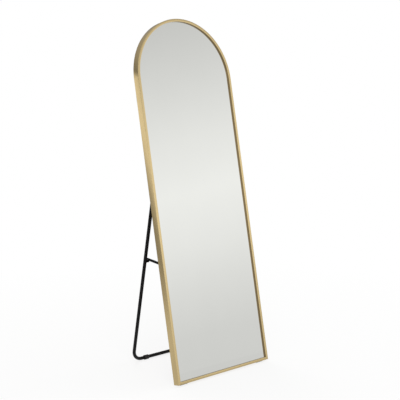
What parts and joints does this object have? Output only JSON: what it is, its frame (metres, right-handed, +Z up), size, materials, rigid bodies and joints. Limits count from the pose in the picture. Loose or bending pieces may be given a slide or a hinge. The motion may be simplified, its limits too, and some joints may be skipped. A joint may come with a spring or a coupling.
{
  "type": "full-length mirror",
  "caption": "Arched full-length floor mirror in a slim brushed gold frame, leaning on a folding black tube stand held by swing-up stay rods.",
  "frame": {"origin": "middle of the bounding box on the floor", "axes": "+X to the right seen from the front, +Y to the back, +Z up; the mirror faces -Y and leans back 11.5 degrees"},
  "size_m": [0.56, 0.4218, 1.6265],
  "materials": {
    "gold_metal": "brushed, gold anodised",
    "mirror_glass": "silvered, polished",
    "film": "smooth",
    "foam": "fine-celled",
    "hardboard": "pressed fibre, unpainted",
    "black_steel": "satin black powder coat",
    "black_screw": "black oxide",
    "zinc_steel": "zinc plated",
    "nylon": "natural nylon",
    "rubber": "moulded, matt"
  },
  "bodies": {
    "mirror": {"frame_hoop": "gold_metal", "frame_bottom_rail": "gold_metal", "corner_key_left": "zinc_steel", "corner_key_right": "zinc_steel", "corner_screws": "zinc_steel", "mirror_glass": "mirror_glass", "safety_film": "film", "foam_sheet": "foam", "back_board": "hardboard", "setting_blocks": "rubber", "upper_cross_rail": "black_steel", "lower_cross_rail": "black_steel", "rail_screws": "zinc_steel", "hinge_bracket_left": "black_steel", "hinge_bracket_right": "black_steel", "hinge_bracket_screws": "black_screw", "hinge_bolts": "zinc_steel", "hinge_nuts": "zinc_steel", "hinge_washers": "nylon", "stay_bracket_left": "black_steel", "stay_bracket_right": "black_steel", "stay_bracket_screws": "black_screw", "stay_pins": "zinc_steel", "hanger_plate_left": "zinc_steel", "hanger_plate_right": "zinc_steel", "hanger_screws": "zinc_steel", "frame_foot_left": "rubber", "frame_foot_right": "rubber", "frame_foot_screws": "zinc_steel"},
    "stand": {"stand_tube": "black_steel", "leg_lug_left": "black_steel", "leg_lug_right": "black_steel", "lug_pins": "zinc_steel", "stay_catch_left": "black_steel", "stay_catch_right": "black_steel", "stand_foot_left": "rubber", "stand_foot_right": "rubber"},
    "stay_left": {"stay_rod_left": "black_steel", "stay_peg_left": "zinc_steel"},
    "stay_right": {"stay_rod_right": "black_steel", "stay_peg_right": "zinc_steel"}
  },
  "joints": [
    {"name": "stand_fold", "type": "hinge", "parent": "mirror", "child": "stand", "pos_m": [0, 0.01975, 0.9039], "axis": [-1, 0, 0], "range_deg": [0, 22.9]},
    {"name": "stay_left_swing", "type": "hinge", "parent": "mirror", "child": "stay_left", "pos_m": [-0.196, -0.06563, 0.4993], "axis": [1, 0, 0], "range_deg": [0, 73.5]},
    {"name": "stay_right_swing", "type": "hinge", "parent": "mirror", "child": "stay_right", "pos_m": [0.196, -0.06563, 0.4993], "axis": [1, 0, 0], "range_deg": [0, 73.5]}
  ]
}
